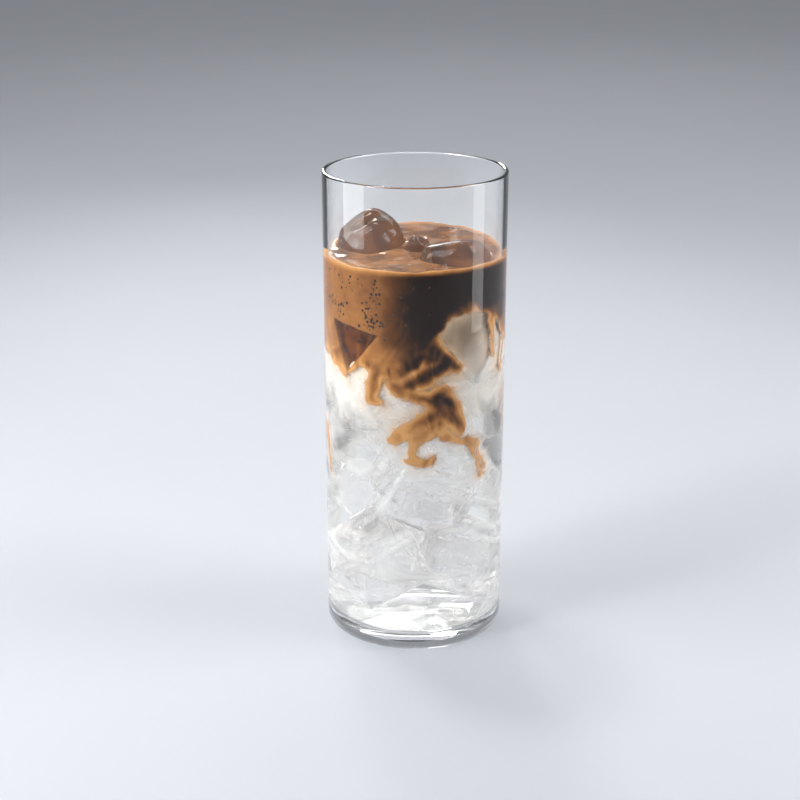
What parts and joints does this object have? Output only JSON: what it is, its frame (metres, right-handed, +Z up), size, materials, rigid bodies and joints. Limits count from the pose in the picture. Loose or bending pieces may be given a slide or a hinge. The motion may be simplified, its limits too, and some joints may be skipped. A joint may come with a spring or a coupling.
{
  "type": "hojicha latte",
  "caption": "Tall clear tumbler of iced milk with roasted tea swirling down into it, and ice cubes floating in the top.",
  "frame": {"origin": "centre of the glass's foot, on the surface it stands on", "axes": "+Z up along the glass's axis; -Y towards the front"},
  "size_m": [0.062, 0.062, 0.163],
  "materials": {
    "clear_glass": "clear, polished",
    "milk": "cloudy cold milk",
    "hojicha_tea": "brown roasted tea, wet",
    "ice": "clear wet ice"
  },
  "bodies": {
    "root": {"glass": "clear_glass", "milk": "milk", "hojicha_tea": "hojicha_tea", "ice_cube_left": "ice", "ice_cube_right": "ice", "ice_chip": "ice"}
  },
  "joints": []
}
